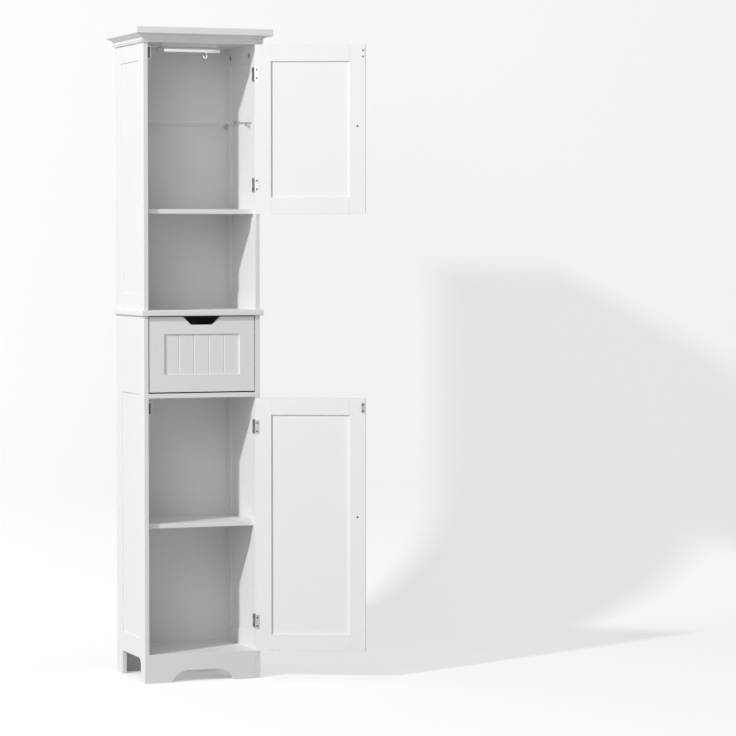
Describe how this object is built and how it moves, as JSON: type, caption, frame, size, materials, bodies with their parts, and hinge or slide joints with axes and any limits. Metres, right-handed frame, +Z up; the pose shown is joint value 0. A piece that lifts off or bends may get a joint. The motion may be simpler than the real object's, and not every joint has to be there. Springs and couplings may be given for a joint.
{
  "type": "tall bathroom cabinet",
  "caption": "Tall narrow white bathroom cabinet with two framed doors, a beadboard drawer, an open niche and a moulded crown.",
  "frame": {"origin": "on the floor, in the middle of the rear kick rail's underside, 6 mm in front of the back of the cabinet", "axes": "+X to the right of someone facing the cabinet, +Y back to the wall, +Z up"},
  "size_m": [0.5936, 0.3989, 1.7],
  "materials": {
    "white_paint": "satin white paint on fibreboard",
    "white_hardboard": "thin painted hardboard",
    "clear_glass": "clear float glass, ground edge",
    "nickel": "satin nickel plating",
    "hinge_steel": "satin nickel plating",
    "screw_steel": "bright zinc plating",
    "strike_steel": "zinc plating",
    "pin_steel": "nickel plating",
    "zinc": "cast zinc",
    "runner_steel": "white powder coat",
    "catch_plastic": "moulded white plastic",
    "bar_chrome": "bright chrome plating",
    "rail_plastic": "moulded white plastic"
  },
  "bodies": {
    "cabinet": {"bottom_board": "white_paint", "cam_locks": "zinc", "ceiling_bar": "bar_chrome", "ceiling_strip": "rail_plastic", "crown_board": "white_paint", "crown_moulding_front": "white_paint", "crown_moulding_left": "white_paint", "crown_moulding_right": "white_paint", "divider_board": "white_paint", "fixed_shelf": "white_paint", "glass_shelf": "clear_glass", "glass_shelf_pins": "pin_steel", "hinge_pins": "hinge_steel", "hinge_side_leaves": "hinge_steel", "hinge_side_screws": "screw_steel", "left_drawer_runner": "runner_steel", "lower_back_panel": "white_hardboard", "lower_left_side_frame": "white_paint", "lower_left_side_panel": "white_paint", "lower_right_side_frame": "white_paint", "lower_right_side_panel": "white_paint", "lower_shelf": "white_paint", "magnetic_catches": "catch_plastic", "plinth_board": "white_paint", "rear_kick_rail": "white_paint", "right_drawer_runner": "runner_steel", "top_panel": "white_paint", "upper_back_panel": "white_hardboard", "upper_left_side_frame": "white_paint", "upper_left_side_panel": "white_paint", "upper_right_side_frame": "white_paint", "upper_right_side_panel": "white_paint", "waist_board": "white_paint"},
    "drawer": {"drawer_back": "white_paint", "drawer_bottom": "white_hardboard", "drawer_front_beadboard": "white_paint", "drawer_front_frame": "white_paint", "drawer_left_side": "white_paint", "drawer_right_side": "white_paint", "drawer_sliders": "runner_steel"},
    "lower_door": {"lower_door_bottom_rail": "white_paint", "lower_door_free_stile": "white_paint", "lower_door_hinge_leaves": "hinge_steel", "lower_door_hinge_stile": "white_paint", "lower_door_knob": "nickel", "lower_door_knob_screw": "screw_steel", "lower_door_panel": "white_paint", "lower_door_screws": "screw_steel", "lower_door_strike_plate": "strike_steel", "lower_door_top_rail": "white_paint"},
    "upper_door": {"upper_door_bottom_rail": "white_paint", "upper_door_free_stile": "white_paint", "upper_door_hinge_leaves": "hinge_steel", "upper_door_hinge_stile": "white_paint", "upper_door_knob": "nickel", "upper_door_knob_screw": "screw_steel", "upper_door_panel": "white_paint", "upper_door_screws": "screw_steel", "upper_door_strike_plate": "strike_steel", "upper_door_top_rail": "white_paint"}
  },
  "joints": [
    {"name": "drawer_slide", "type": "slide", "parent": "cabinet", "child": "drawer", "axis": [0, -1, 0], "range_m": [0, 0.185]},
    {"name": "lower_door_hinge", "type": "hinge", "parent": "cabinet", "child": "lower_door", "pos_m": [0.145, -0.254, 0.4], "axis": [0, 0, 1], "range_deg": [-155, 15]},
    {"name": "upper_door_hinge", "type": "hinge", "parent": "cabinet", "child": "upper_door", "pos_m": [0.145, -0.254, 1.44], "axis": [0, 0, 1], "range_deg": [-155, 15]}
  ]
}
